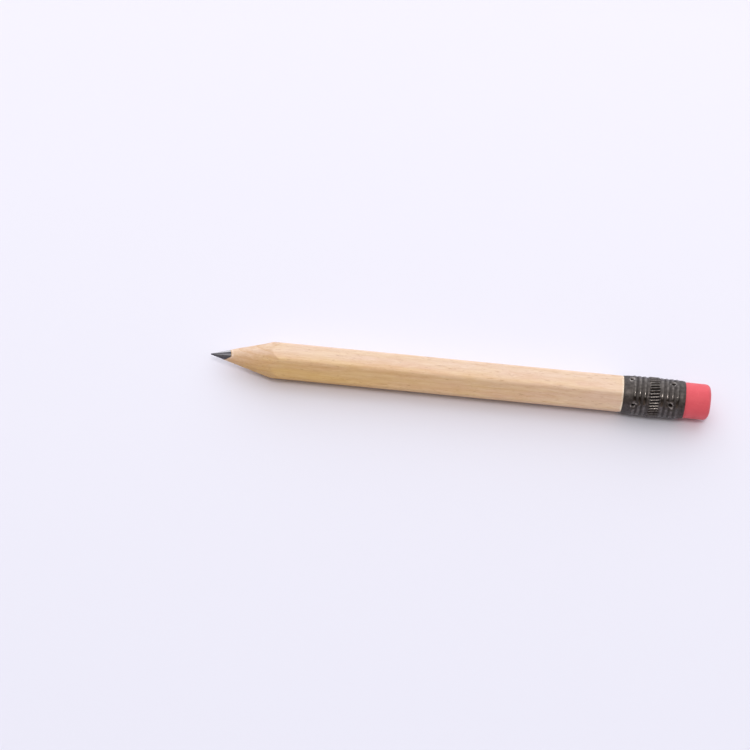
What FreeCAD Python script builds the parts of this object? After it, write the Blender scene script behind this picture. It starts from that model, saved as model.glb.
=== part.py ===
import FreeCAD, Part
import math
import os

import Sketcher
from FreeCAD import Placement, Rotation, Vector

# A short hexagonal graphite pencil with a crimped metal ferrule and an eraser plug, in millimetres.
#
# +X runs along the pencil's axis, from the writing point at the origin to the eraser's end face.
# +Z is up, with the pencil lying on one of its six flats, so two opposite corners point along Y.
# Two grooved wooden slats are glued round the core and shaped together into one hexagonal barrel.
# The barrel's rear end is turned down to a round tenon. The ferrule slides over that tenon and over
# the eraser plug, and two rows of pricked prongs bite into the wood and into the rubber.

DRIVING_DIMENSIONS = [
    ("overall_length", 100.0, "writing point to eraser end face"),
    ("across_flats", 7.1, "hexagonal barrel, flat to flat"),
    ("corner_radius", 0.8, "rounding of the barrel's six corners"),
    ("core_diameter", 2.0, "graphite and clay core"),
    ("glue_thickness", 0.05, "adhesive film between the slats and round the core"),
    ("point_half_angle", 16.0, "degrees between the axis and the sharpened cone"),
    ("point_radius", 0.12, "rounding of the writing point"),
    ("ferrule_length", 12.4, "metal sleeve, rim to rim"),
    ("ferrule_wall", 0.25, "sheet thickness of the ferrule"),
    ("ferrule_rim", 0.08, "rounding of the ferrule's outer rims"),
    ("eraser_exposed", 5.3, "eraser standing out of the ferrule"),
    ("eraser_swell", 0.05, "radius the free rubber gains over the squeezed rubber"),
    ("eraser_ramp", 0.6, "length over which the rubber swells once it leaves the ferrule"),
    ("eraser_rounding", 1.1, "rounding of the eraser's end edge"),
    ("eraser_crown", 0.12, "height of the eraser's domed end face"),
    ("tenon_length", 6.4, "turned wood inside the ferrule"),
    ("tenon_gap", 0.1, "gap between the tenon's end and the eraser"),
    ("bead_height", 0.12, "rolled bead above the plain sleeve"),
    ("bead_tube", 0.36, "radius of a bead's round section"),
    ("bead_pitch", 1.02, "bead to bead"),
    ("front_bead", 2.25, "front rim to first bead of the wood-side group"),
    ("front_bead_count", 3, "beads on the wood side"),
    ("rear_bead", 7.73, "front rim to first bead of the eraser-side group"),
    ("rear_bead_count", 4, "beads on the eraser side"),
    ("band_start", 5.25, "front rim to fluted band"),
    ("band_length", 1.9, "length of the fluted band"),
    ("band_height", 0.18, "fluted band above the plain sleeve"),
    ("band_ramp", 0.15, "length of the slope at each end of the band"),
    ("flute_count", 38, "flutes round the band"),
    ("flute_radius", 0.24, "radius of one flute's round section"),
    ("flute_depth", 0.13, "depth of one flute"),
    ("prong_bite", 0.35, "how deep a prong reaches below the sleeve's bore"),
    ("prong_root", 0.45, "outside radius of a prong where it leaves the bore"),
    ("prong_tip", 0.27, "outside radius of a prong's tip"),
    ("prong_wall", 0.1, "metal left round a prong's pierced hole"),
    ("front_prong", 1.85, "front rim to wood-side prongs"),
    ("front_prong_count", 4, "prongs in the wood-side row"),
    ("front_prong_angle", 155.0, "degrees from +Y to the first wood-side prong"),
    ("rear_prong", 9.75, "front rim to eraser-side prongs"),
    ("rear_prong_count", 5, "prongs in the eraser-side row"),
    ("rear_prong_angle", 144.0, "degrees from +Y to the first eraser-side prong"),
]

# Expressions shared by several pieces. Each names only cells of the sheet.
CORNER_REACH = "Dims.across_flats / sqrt(3)"
BORE_RADIUS = "Dims.across_flats / 2"
CORE_RADIUS = "Dims.core_diameter / 2"
SLEEVE_RADIUS = f"({BORE_RADIUS} + Dims.ferrule_wall)"
CLEAR_RADIUS = "Dims.across_flats"
CONE_ANGLE = "(Dims.point_half_angle * 1 deg)"
CONE_APEX = f"(Dims.point_radius - Dims.point_radius / sin({CONE_ANGLE}))"
REAR_RIM = "(Dims.overall_length - Dims.eraser_exposed)"
FRONT_RIM = f"({REAR_RIM} - Dims.ferrule_length)"
TENON_END = f"({FRONT_RIM} + Dims.tenon_length)"
ERASER_START = f"({TENON_END} + Dims.tenon_gap)"
PRONG_TIP_RADIUS = f"({BORE_RADIUS} - Dims.prong_bite)"

HORIZONTAL_AXIS, VERTICAL_AXIS, ORIGIN_POINT = -1, -2, 1
START, END, CENTRE = 1, 2, 3
LENGTH_TOLERANCE = 1e-6

doc = FreeCAD.newDocument("Pencil")


def make_sheet():
    sheet = doc.addObject("Spreadsheet::Sheet", "Dims")
    for row, (alias, size, note) in enumerate(DRIVING_DIMENSIONS, start=1):
        sheet.set(f"A{row}", str(size))
        sheet.setAlias(f"A{row}", alias)
        sheet.set(f"B{row}", note)
    doc.recompute()
    return sheet


def number(expression):
    """The present value of an expression, as a plain number."""
    value = doc.getObject("Dims").evalExpression(expression.replace("Dims.", ""))
    return float(getattr(value, "Value", value))


def bind(feature, **expressions):
    """Binds properties of a feature to expressions."""
    for name, expression in expressions.items():
        feature.setExpression(name, expression)


def new_body(name):
    return doc.addObject("PartDesign::Body", name)


def origin_feature(body, role):
    return next(f for f in body.Origin.OriginFeatures if f.Role == role)


def new_sketch(body, name, plane):
    sketch = body.newObject("Sketcher::SketchObject", name)
    sketch.AttachmentSupport = [(origin_feature(body, plane), "")]
    sketch.MapMode = "FlatFace"
    return sketch


def pin_point(sketch, geometry, position, across, up):
    """Fixes one sketch point at two expressions, measured from the sketch's origin."""
    for kind, axis, expression in (
        ("DistanceX", VERTICAL_AXIS, across),
        ("DistanceY", HORIZONTAL_AXIS, up),
    ):
        if expression == "0":
            sketch.addConstraint(Sketcher.Constraint("PointOnObject", geometry, position, axis))
            continue
        index = sketch.addConstraint(
            Sketcher.Constraint(kind, -1, ORIGIN_POINT, geometry, position, number(expression))
        )
        sketch.setExpression(f"Constraints[{index}]", expression)


def polygon(body, name, plane, corners):
    """A closed polygon sketch whose corners are (across, up) pairs of expressions."""
    sketch = new_sketch(body, name, plane)
    points = [Vector(number(across), number(up), 0) for across, up in corners]
    count = len(points)
    for i in range(count):
        sketch.addGeometry(Part.LineSegment(points[i], points[(i + 1) % count]), False)
    for i in range(count):
        sketch.addConstraint(Sketcher.Constraint("Coincident", i, END, (i + 1) % count, START))
    for i, (across, up) in enumerate(corners):
        pin_point(sketch, i, START, across, up)
    return sketch


def revolve(body, kind, name, sketch):
    """A full turn of a sketch round the pencil's axis: a Revolution adds, a Groove cuts."""
    feature = body.newObject(f"PartDesign::{kind}", name)
    feature.Profile = sketch
    feature.ReferenceAxis = (sketch, ["H_Axis"])
    feature.Angle = 360
    sketch.Visibility = False
    return feature


def linear_pattern(body, name, original, length, count):
    pattern = body.newObject("PartDesign::LinearPattern", name)
    pattern.Originals = [original]
    pattern.Direction = (origin_feature(body, "X_Axis"), [""])
    bind(pattern, Length=length, Occurrences=count)
    body.Tip = pattern
    return pattern


def polar_pattern(body, name, originals, count):
    pattern = body.newObject("PartDesign::PolarPattern", name)
    pattern.Originals = originals
    pattern.Axis = (origin_feature(body, "X_Axis"), [""])
    pattern.Angle = 360
    bind(pattern, Occurrences=count)
    body.Tip = pattern
    return pattern


def radial_cone(body, kind, name, along, angle, inner, outer, tip, root):
    """A cone whose axis is radial: radius tip at distance inner from the axis, root at outer."""
    cone = body.newObject(f"PartDesign::{kind}Cone", name)
    cone.Placement = Placement(Vector(0, 0, 0), Rotation(Vector(1, 0, 0), 45))
    bind(cone, Radius1=tip, Radius2=root, Height=f"{outer} - {inner}")
    turn = f"({angle} * 1 deg)"
    cone.setExpression(".Placement.Base.x", along)
    cone.setExpression(".Placement.Base.y", f"{inner} * cos({turn})")
    cone.setExpression(".Placement.Base.z", f"{inner} * sin({turn})")
    cone.setExpression(".Placement.Rotation.Angle", f"{turn} - 90 deg")
    return cone


def prong_row(row):
    """Where a row of prongs stands: its x, its first angle and its count, as expressions."""
    return f"{FRONT_RIM} + Dims.{row}_prong", f"Dims.{row}_prong_angle", f"Dims.{row}_prong_count"


def cut_prong_seats(body, row):
    """Cuts the seats that one row of the ferrule's prongs has bitten into a piece."""
    along, angle, count = prong_row(row)
    seat = radial_cone(
        body, "Subtractive", f"{row}_seat", along, angle,
        PRONG_TIP_RADIUS, f"({BORE_RADIUS} + Dims.prong_bite)",
        "Dims.prong_tip", "2 * Dims.prong_root - Dims.prong_tip",
    )
    polar_pattern(body, f"{row}_seats", [seat], count)


def make_barrel():
    """The glued and shaped sandwich of slats as one envelope, before it is split into pieces."""
    body = new_body("barrel")
    hexagon = polygon(body, "hexagon", "YZ_Plane", [
        (CORNER_REACH, "0"),
        (f"{CORNER_REACH} / 2", BORE_RADIUS),
        (f"-{CORNER_REACH} / 2", BORE_RADIUS),
        (f"-{CORNER_REACH}", "0"),
        (f"-{CORNER_REACH} / 2", f"-{BORE_RADIUS}"),
        (f"{CORNER_REACH} / 2", f"-{BORE_RADIUS}"),
    ])
    pad = body.newObject("PartDesign::Pad", "blank")
    pad.Profile = hexagon
    bind(pad, Length=TENON_END)
    hexagon.Visibility = False
    doc.recompute()

    corners = body.newObject("PartDesign::Fillet", "rounded_corners")
    corners.Base = (pad, long_edges(pad.Shape))
    bind(corners, Radius="Dims.corner_radius")

    sharpening = polygon(body, "sharpening_profile", "XZ_Plane", [
        (CONE_APEX, "0"),
        (f"{CONE_APEX} + {CLEAR_RADIUS} / tan({CONE_ANGLE})", CLEAR_RADIUS),
        (CONE_APEX, CLEAR_RADIUS),
    ])
    revolve(body, "Groove", "sharpened_cone", sharpening)

    behind = f"{TENON_END} + {CLEAR_RADIUS}"
    shoulder = polygon(body, "shoulder_profile", "XZ_Plane", [
        (FRONT_RIM, BORE_RADIUS),
        (behind, BORE_RADIUS),
        (behind, CLEAR_RADIUS),
        (FRONT_RIM, CLEAR_RADIUS),
    ])
    revolve(body, "Groove", "turned_tenon", shoulder)
    cut_prong_seats(body, "front")
    return body


def long_edges(shape):
    """Names of a shape's edges that run along X."""
    names = []
    for index, edge in enumerate(shape.Edges, start=1):
        across = edge.tangentAt(edge.FirstParameter).cross(Vector(1, 0, 0))
        if across.Length < LENGTH_TOLERANCE:
            names.append(f"Edge{index}")
    return names


def round_edges(shape, stations, radius):
    """Names of a shape's circular edges of one radius at the given places along X."""
    names = []
    for index, edge in enumerate(shape.Edges, start=1):
        if not isinstance(edge.Curve, Part.Circle):
            continue
        at_station = min(abs(edge.Curve.Center.x - x) for x in stations) < LENGTH_TOLERANCE
        if at_station and abs(edge.Curve.Radius - radius) < LENGTH_TOLERANCE:
            names.append(f"Edge{index}")
    return names


def axial_cylinder(name, radius, length):
    """A cylinder along the pencil's axis that runs past both ends of a length from the point."""
    cylinder = doc.addObject("Part::Cylinder", name)
    cylinder.Placement = Placement(Vector(0, 0, 0), Rotation(Vector(0, 1, 0), 90))
    bind(cylinder, Radius=radius, Height=f"{length} + 2 * {CLEAR_RADIUS}")
    cylinder.setExpression(".Placement.Base.x", f"-{CLEAR_RADIUS}")
    return cylinder


def full_width_box(name, bottom, height):
    """A box wider and longer than the barrel, from one height upwards."""
    box = doc.addObject("Part::Box", name)
    length = f"Dims.overall_length + 2 * {CLEAR_RADIUS}"
    bind(box, Length=length, Width=f"2 * {CLEAR_RADIUS}", Height=height)
    box.setExpression(".Placement.Base.x", f"-{CLEAR_RADIUS}")
    box.setExpression(".Placement.Base.y", f"-{CLEAR_RADIUS}")
    box.setExpression(".Placement.Base.z", bottom)
    return box


def boolean(kind, name, first, second):
    result = doc.addObject(f"Part::{kind}", name)
    result.Base = first
    result.Tool = second
    return result


def split_barrel(barrel):
    """Splits the barrel at its glue line into two slats, and keeps the film that joins them."""
    half_glue = "Dims.glue_thickness / 2"
    core_space = axial_cylinder("core_space", CORE_RADIUS, TENON_END)
    glued_space = axial_cylinder("glued_space", f"{CORE_RADIUS} + Dims.glue_thickness", TENON_END)

    above = full_width_box("above_glue", half_glue, CLEAR_RADIUS)
    below = full_width_box("below_glue", f"-{half_glue} - {CLEAR_RADIUS}", CLEAR_RADIUS)
    strip = full_width_box("glue_strip", f"-{half_glue}", "Dims.glue_thickness")

    upper = boolean("Cut", "upper_slat", boolean("Common", "upper_half", barrel, above), glued_space)
    lower = boolean("Cut", "lower_slat", boolean("Common", "lower_half", barrel, below), glued_space)

    filled_glue = boolean("Fuse", "filled_glue", strip, glued_space)
    hollow_glue = boolean("Cut", "hollow_glue", filled_glue, core_space)
    glue = boolean("Common", "glue_film", barrel, hollow_glue)
    return [upper, lower, glue]


def make_core():
    """The graphite core: a rod with a sharpened cone and a slightly rounded writing point."""
    body = new_body("graphite_core")
    sketch = new_sketch(body, "core_profile", "XZ_Plane")
    radius, rod = number("Dims.point_radius"), number(CORE_RADIUS)
    angle = math.radians(number("Dims.point_half_angle"))
    tangent = Vector(radius * (1 - math.sin(angle)), radius * math.cos(angle), 0)
    base = Vector(number(CONE_APEX) + rod / math.tan(angle), rod, 0)
    end = number(TENON_END)

    point_circle = Part.Circle(Vector(radius, 0, 0), Vector(0, 0, 1), radius)
    arc = sketch.addGeometry(
        Part.ArcOfCircle(point_circle, math.pi / 2 + angle, math.pi), False
    )
    cone = sketch.addGeometry(Part.LineSegment(tangent, base), False)
    side = sketch.addGeometry(Part.LineSegment(base, Vector(end, rod, 0)), False)
    back = sketch.addGeometry(Part.LineSegment(Vector(end, rod, 0), Vector(end, 0, 0)), False)
    axis = sketch.addGeometry(Part.LineSegment(Vector(end, 0, 0), Vector(0, 0, 0)), False)

    constraint = Sketcher.Constraint
    sketch.addConstraint(constraint("Tangent", arc, START, cone, START))
    sketch.addConstraint(constraint("Coincident", cone, END, side, START))
    sketch.addConstraint(constraint("Coincident", side, END, back, START))
    sketch.addConstraint(constraint("Coincident", back, END, axis, START))
    sketch.addConstraint(constraint("Coincident", axis, END, arc, END))
    sketch.addConstraint(constraint("PointOnObject", arc, CENTRE, HORIZONTAL_AXIS))
    sketch.addConstraint(constraint("Coincident", arc, END, -1, ORIGIN_POINT))
    sketch.addConstraint(constraint("Horizontal", side))
    bound = sketch.addConstraint(constraint("Radius", arc, radius))
    sketch.setExpression(f"Constraints[{bound}]", "Dims.point_radius")
    bound = sketch.addConstraint(constraint("Angle", -1, ORIGIN_POINT, cone, START, angle))
    sketch.setExpression(f"Constraints[{bound}]", CONE_ANGLE)
    pin_point(sketch, back, START, TENON_END, CORE_RADIUS)
    sketch.addConstraint(constraint("PointOnObject", axis, START, HORIZONTAL_AXIS))
    sketch.addConstraint(constraint("Vertical", back))
    revolve(body, "Revolution", "sharpened_rod", sketch)
    return body


def add_beads(body, group):
    """Rolled beads: one torus sunk in the sleeve's wall, repeated along the axis."""
    bead = body.newObject("PartDesign::AdditiveTorus", f"{group}_bead")
    bead.Placement = Placement(Vector(0, 0, 0), Rotation(Vector(0, 1, 0), 90))
    bind(bead, Radius1=f"{SLEEVE_RADIUS} + Dims.bead_height - Dims.bead_tube", Radius2="Dims.bead_tube")
    bead.setExpression(".Placement.Base.x", f"{FRONT_RIM} + Dims.{group}_bead")
    count = f"Dims.{group}_bead_count"
    linear_pattern(body, f"{group}_beads", bead, f"Dims.bead_pitch * ({count} - 1)", count)


def add_flutes(body):
    """Flutes along the raised band: one round cut at the top of the band, repeated round the axis."""
    flute = body.newObject("PartDesign::SubtractiveCylinder", "flute")
    flute.Placement = Placement(Vector(0, 0, 0), Rotation(Vector(0, 1, 0), 90))
    bind(flute, Radius="Dims.flute_radius", Height="Dims.band_length")
    flute.setExpression(".Placement.Base.x", f"{FRONT_RIM} + Dims.band_start")
    band_radius = f"{SLEEVE_RADIUS} + Dims.band_height"
    flute.setExpression(".Placement.Base.z", f"{band_radius} + Dims.flute_radius - Dims.flute_depth")
    polar_pattern(body, "flutes", [flute], "Dims.flute_count")


def add_prongs(body, row):
    """One row of prongs: metal pushed through the bore as a cone, pierced at its middle."""
    along, angle, count = prong_row(row)
    prong = radial_cone(
        body, "Additive", f"{row}_prong", along, angle,
        PRONG_TIP_RADIUS, f"({BORE_RADIUS} + Dims.ferrule_wall / 2)",
        "Dims.prong_tip", "Dims.prong_root + (Dims.prong_root - Dims.prong_tip)"
        " * Dims.ferrule_wall / 2 / Dims.prong_bite",
    )
    slope = "(Dims.prong_root - Dims.prong_tip) / Dims.prong_bite"
    reach = "Dims.ferrule_wall + 2 * Dims.bead_height"
    hole = radial_cone(
        body, "Subtractive", f"{row}_hole", along, angle,
        f"({PRONG_TIP_RADIUS} - Dims.prong_wall)", f"({BORE_RADIUS} + {reach})",
        f"Dims.prong_tip - Dims.prong_wall - {slope} * Dims.prong_wall",
        f"Dims.prong_root - Dims.prong_wall + {slope} * ({reach})",
    )
    polar_pattern(body, f"{row}_prongs", [prong, hole], count)


def make_ferrule():
    """The sheet-metal sleeve with its rolled beads, fluted band and two rows of prongs."""
    body = new_body("ferrule")
    band_radius = f"{SLEEVE_RADIUS} + Dims.band_height"
    band_front = f"{FRONT_RIM} + Dims.band_start"
    band_rear = f"{band_front} + Dims.band_length"
    outline = polygon(body, "sleeve_profile", "XZ_Plane", [
        (FRONT_RIM, "0"),
        (FRONT_RIM, SLEEVE_RADIUS),
        (f"{band_front} - Dims.band_ramp", SLEEVE_RADIUS),
        (band_front, band_radius),
        (band_rear, band_radius),
        (f"{band_rear} + Dims.band_ramp", SLEEVE_RADIUS),
        (REAR_RIM, SLEEVE_RADIUS),
        (REAR_RIM, "0"),
    ])
    sleeve = revolve(body, "Revolution", "sleeve", outline)
    doc.recompute()

    rims = body.newObject("PartDesign::Fillet", "rounded_rims")
    ends = [number(FRONT_RIM), number(REAR_RIM)]
    rims.Base = (sleeve, round_edges(sleeve.Shape, ends, number(SLEEVE_RADIUS)))
    bind(rims, Radius="Dims.ferrule_rim")

    add_beads(body, "front")
    add_beads(body, "rear")
    add_flutes(body)

    bore = polygon(body, "bore_profile", "XZ_Plane", [
        (f"{FRONT_RIM} - {CLEAR_RADIUS}", "0"),
        (f"{REAR_RIM} + {CLEAR_RADIUS}", "0"),
        (f"{REAR_RIM} + {CLEAR_RADIUS}", BORE_RADIUS),
        (f"{FRONT_RIM} - {CLEAR_RADIUS}", BORE_RADIUS),
    ])
    revolve(body, "Groove", "sleeve_bore", bore)
    add_prongs(body, "front")
    add_prongs(body, "rear")
    return body


def make_eraser():
    """The rubber plug: squeezed inside the ferrule, wider and rounded where it stands out."""
    body = new_body("eraser_plug")
    free_radius = f"{BORE_RADIUS} + Dims.eraser_swell"
    crown_start = "Dims.overall_length - Dims.eraser_crown"
    outline = polygon(body, "plug_profile", "XZ_Plane", [
        (ERASER_START, "0"),
        (ERASER_START, BORE_RADIUS),
        (REAR_RIM, BORE_RADIUS),
        (f"{REAR_RIM} + Dims.eraser_ramp", free_radius),
        (crown_start, free_radius),
        ("Dims.overall_length", "0"),
    ])
    plug = revolve(body, "Revolution", "plug", outline)
    doc.recompute()

    rounding = body.newObject("PartDesign::Fillet", "rounded_end")
    rounding.Base = (plug, round_edges(plug.Shape, [number(crown_start)], number(free_radius)))
    bind(rounding, Radius="Dims.eraser_rounding")
    cut_prong_seats(body, "rear")
    return body


def check_document():
    """Stops if any object of the document failed to compute."""
    for item in doc.Objects:
        if "Invalid" in item.State or "Error" in item.State:
            raise RuntimeError(f"{item.Label} failed: {item.State}")


def check_cuts():
    """Stops if a feature that should cut has removed nothing."""
    for item in doc.Objects:
        if item.TypeId != "PartDesign::Groove" and "Subtractive" not in item.TypeId:
            continue
        if item.Shape.Volume > item.BaseFeature.Shape.Volume - LENGTH_TOLERANCE:
            raise RuntimeError(f"{item.Label} cut nothing")


def check_piece(piece):
    """Stops if a piece is empty, broken or not one closed solid."""
    shape = piece.Shape
    if shape.isNull() or not shape.isValid():
        raise RuntimeError(f"{piece.Label} has no valid shape")
    if not shape.Solids or not all(solid.isClosed() for solid in shape.Solids):
        raise RuntimeError(f"{piece.Label} is not made of closed solids")


make_sheet()
pieces = split_barrel(make_barrel())
pieces += [make_core(), make_ferrule(), make_eraser()]
doc.recompute()
check_document()
check_cuts()
os.makedirs("parts", exist_ok=True)
for piece in pieces:
    check_piece(piece)
    piece.Shape.exportStep(os.path.join("parts", f"{piece.Label}.step"))
    box = piece.Shape.optimalBoundingBox()
    print(
        f"{piece.Label}: {len(piece.Shape.Solids)} solid(s), {piece.Shape.Volume:.2f} mm3, "
        f"x {box.XMin:.2f} to {box.XMax:.2f}, z {box.ZMin:.2f} to {box.ZMax:.2f}"
    )
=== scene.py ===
import math

import bpy
import numpy as np
from mathutils import Matrix, Vector


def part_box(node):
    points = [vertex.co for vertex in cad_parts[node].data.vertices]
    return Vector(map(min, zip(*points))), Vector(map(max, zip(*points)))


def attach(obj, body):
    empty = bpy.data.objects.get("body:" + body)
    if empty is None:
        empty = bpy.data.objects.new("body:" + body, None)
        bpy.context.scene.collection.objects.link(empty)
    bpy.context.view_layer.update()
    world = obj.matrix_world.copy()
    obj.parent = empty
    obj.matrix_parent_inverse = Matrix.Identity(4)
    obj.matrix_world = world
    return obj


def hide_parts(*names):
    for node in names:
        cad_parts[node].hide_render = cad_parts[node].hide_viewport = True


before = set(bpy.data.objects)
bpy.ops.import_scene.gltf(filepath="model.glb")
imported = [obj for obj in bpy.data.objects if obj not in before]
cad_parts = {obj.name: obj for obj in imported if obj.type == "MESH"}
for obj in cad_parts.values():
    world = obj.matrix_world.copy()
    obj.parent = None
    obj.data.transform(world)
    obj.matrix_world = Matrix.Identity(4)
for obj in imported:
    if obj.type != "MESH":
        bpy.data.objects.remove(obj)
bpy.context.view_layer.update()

# A short hexagonal graphite pencil, lying on one of its flats. +X runs from the writing point to the
# eraser, and an angle is measured round the axis from +Y towards +Z. Shapes are worked out in
# millimetres and become metres when a mesh is made.

MM = 0.001
TURN = 2 * math.pi


def box_mm(node):
    """A CAD node's lowest and highest corners in millimetres."""
    low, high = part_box(node)
    return low / MM, high / MM


slat_low, slat_high = box_mm("upper_slat")
core_low, core_high = box_mm("graphite_core")
ferrule_low, ferrule_high = box_mm("ferrule")
eraser_low, eraser_high = box_mm("eraser_plug")

# Barrel and point, from the frame.
HALF_FLATS = slat_high.z
CORNER_REACH = slat_high.y
CORNER_STRETCH = 1 / math.cos(math.pi / 6)
CORNER_RADIUS = (HALF_FLATS * CORNER_STRETCH - CORNER_REACH) / (CORNER_STRETCH - 1)
CORE_RADIUS = core_high.z
HALF_GLUE = slat_low.z
GLUE = 2 * HALF_GLUE
FRONT_RIM = ferrule_low.x
REAR_RIM = ferrule_high.x
TENON_END = slat_high.x
TENON_RADIUS = HALF_FLATS - 0.03
POINT_HALF_ANGLE = math.radians(16)
POINT_SLOPE = math.tan(POINT_HALF_ANGLE)
POINT_RADIUS = 0.12
CONE_APEX = POINT_RADIUS - POINT_RADIUS / math.sin(POINT_HALF_ANGLE)

# The lead sits a little off the barrel's axis, so the sharpener bares more of it on one side.
LEAD_OFFSET = 0.24
LEAD_OFFSET_ANGLE = math.radians(86)

# Ferrule, from the frame's outer size and the profile of the pressed sheet.
SLEEVE_RADIUS = HALF_FLATS + 0.25
SHEET = 0.25
BAND_HEIGHT = ferrule_high.z - SLEEVE_RADIUS
BAND_FROM, BAND_TO = FRONT_RIM + 5.25, FRONT_RIM + 7.15
BEAD_PITCH = 1.02
FRONT_BEADS = [FRONT_RIM + 2.25 + BEAD_PITCH * i for i in range(3)]
REAR_BEADS = [FRONT_RIM + 7.73 + BEAD_PITCH * i for i in range(4)]
FLUTES = 38


# ---------------------------------------------------------------- small maths


NOISE_ROWS = 512


def smoothstep(low, high, value):
    """A soft step from 0 at low to 1 at high."""
    share = np.clip((value - low) / (high - low), 0, 1)
    return share * share * (3 - 2 * share)


def lattice_noise(seed, along, around, cells):
    """Smooth noise from -1 to 1 on a lattice that closes after a number of cells around."""
    table = np.random.default_rng(seed).uniform(-1, 1, (NOISE_ROWS, cells))
    i, j = np.floor(along).astype(int), np.floor(around).astype(int)
    f, g = smoothstep(0, 1, along - i), smoothstep(0, 1, around - j)
    here, ahead = i % NOISE_ROWS, (i + 1) % NOISE_ROWS
    left, right = j % cells, (j + 1) % cells
    near = table[here, left] * (1 - g) + table[here, right] * g
    far = table[ahead, left] * (1 - g) + table[ahead, right] * g
    return near * (1 - f) + far * f


def surface_noise(seed, x, angle, length, cells):
    """Noise over a round surface: cells of one length along X, and a number of cells round it."""
    x, angle = np.broadcast_arrays(x, angle)
    return lattice_noise(seed, x / length + 7.3, (angle % TURN) / TURN * cells, cells)


def polar(x, radius, angle):
    """Points from places along X, distances from the axis and angles round it."""
    x, radius, angle = np.broadcast_arrays(x, radius, angle)
    return np.stack([x, radius * np.cos(angle), radius * np.sin(angle)], axis=-1)


# ---------------------------------------------------------------- meshes


def strip_faces(rows, columns, closed):
    """Quads between neighbouring rows and columns of a grid of points."""
    steps = columns if closed else columns - 1
    row, column = np.meshgrid(np.arange(rows - 1), np.arange(steps), indexing="ij")
    following = (column + 1) % columns
    quads = [row * columns + column, row * columns + following,
             (row + 1) * columns + following, (row + 1) * columns + column]
    return np.stack(quads, axis=-1).reshape(-1, 4)


def make_mesh(name, points, faces, attributes=None, sharp_degrees=40):
    """A smooth-shaded closed mesh piece from points in millimetres."""
    mesh = bpy.data.meshes.new(name)
    mesh.from_pydata((points * MM).tolist(), [], [list(map(int, face)) for face in faces])
    mesh.validate()
    for key, values in (attributes or {}).items():
        layer = mesh.attributes.new(key, "FLOAT", "POINT")
        layer.data.foreach_set("value", values.astype(np.float32).ravel())
    mesh.shade_smooth()
    mesh.set_sharp_from_angle(angle=math.radians(sharp_degrees))
    piece = bpy.data.objects.new(name, mesh)
    bpy.context.scene.collection.objects.link(piece)
    return piece


def add_piece(piece, node, material):
    """Puts a piece on the pencil's body in place of a CAD node."""
    piece.data.materials.append(material)
    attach(piece, "root")
    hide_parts(node)


def disc_cap(points, ring, centre, flip):
    """Triangles from a ring of point numbers to a new centre point."""
    points = np.vstack([points, centre])
    middle = len(points) - 1
    faces = [(a, b, middle) for a, b in zip(ring, np.roll(ring, -1))]
    if flip:
        faces = [face[::-1] for face in faces]
    return points, faces


# ---------------------------------------------------------------- prong marks


def prong_marks(station, count, first_degrees, skew, skew_degrees):
    """Places of one row of prongs as (x, angle). The row is punched slightly askew."""
    marks = []
    for i in range(count):
        angle = math.radians(first_degrees + 360 / count * i)
        lean = skew * math.cos(angle - math.radians(skew_degrees))
        marks.append((FRONT_RIM + station + lean, angle % TURN))
    return marks


FRONT_PRONGS = prong_marks(1.85, 4, 155, 0.36, 200)
REAR_PRONGS = prong_marks(9.75, 5, 144, 0.32, 18)
PRONG_DEPTH = 0.5
PRONG_WALL = 0.11


def mark_distance(x, angle, mark):
    """Distance over the sleeve's surface to a prong's centre."""
    turned = (angle - mark[1] + math.pi) % TURN - math.pi
    return np.hypot(x - mark[0], turned * SLEEVE_RADIUS)


def nearest_mark(x, angle, marks):
    """Distance over the sleeve's surface to the nearest of some prongs."""
    return np.min([mark_distance(x, angle, mark) for mark in marks], axis=0)


def seat_depth(x, angle, marks):
    """How far wood or rubber is pushed in under a row of prongs, with a pricked hole in the middle."""
    distance = nearest_mark(x, angle, marks)
    return 0.36 * (1 - smoothstep(0.3, 0.85, distance)) + 0.9 * (1 - smoothstep(0.12, 0.36, distance))


def painted_hole_shade(x, angle, marks):
    """Where wood or rubber round a prong's hole is painted dark, as painted shade in the hole, from 0 to 1.
    """
    return 1 - smoothstep(0.25, 0.5, nearest_mark(x, angle, marks))


# ---------------------------------------------------------------- wood, glue and lead


def hexagon_radius(angle):
    """Axis to the barrel's surface: flats at 30 degrees and every 60 from there, round corners."""
    from_flat = np.abs(angle % (math.pi / 3) - math.pi / 6)
    inner = HALF_FLATS - CORNER_RADIUS
    corner_centre = inner * CORNER_STRETCH
    flat_end = math.atan(inner * math.tan(math.pi / 6) / HALF_FLATS)
    from_corner = math.pi / 6 - from_flat
    sideways = np.clip(corner_centre * np.sin(from_corner), -CORNER_RADIUS, CORNER_RADIUS)
    round_part = corner_centre * np.cos(from_corner) + np.sqrt(CORNER_RADIUS**2 - sideways**2)
    return np.where(from_flat < flat_end, HALF_FLATS / np.cos(from_flat), round_part)


def off_centre_radius(radius, angle):
    """Axis to the surface of a rod or bore that shares the lead's offset."""
    turned = angle - LEAD_OFFSET_ANGLE
    return LEAD_OFFSET * np.cos(turned) + np.sqrt(radius**2 - (LEAD_OFFSET * np.sin(turned)) ** 2)


def cone_reach(radius):
    """Where along X the sharpened cone has a radius."""
    return CONE_APEX + radius / POINT_SLOPE


CHIP_DEPTH = 0.26
CHIP_ANGLE = math.radians(124)
CHIP_SPREAD = math.radians(24)


def lead_collar(angle):
    """Where the sharpened lead meets the glue and the wood's thin edge."""
    ragged = surface_noise(11, 0.0, angle, 1.0, 16) * 0.08 + surface_noise(12, 0.0, angle, 1.0, 32) * 0.05
    chip = CHIP_DEPTH * np.exp(-(((angle % TURN - CHIP_ANGLE) / CHIP_SPREAD) ** 2))
    return cone_reach(off_centre_radius(CORE_RADIUS, angle)) + ragged + chip


def wood_collar(angle):
    """Where the wood's thin front edge stands, a glue film's width behind the lead's collar."""
    return lead_collar(angle) + GLUE / POINT_SLOPE


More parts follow.
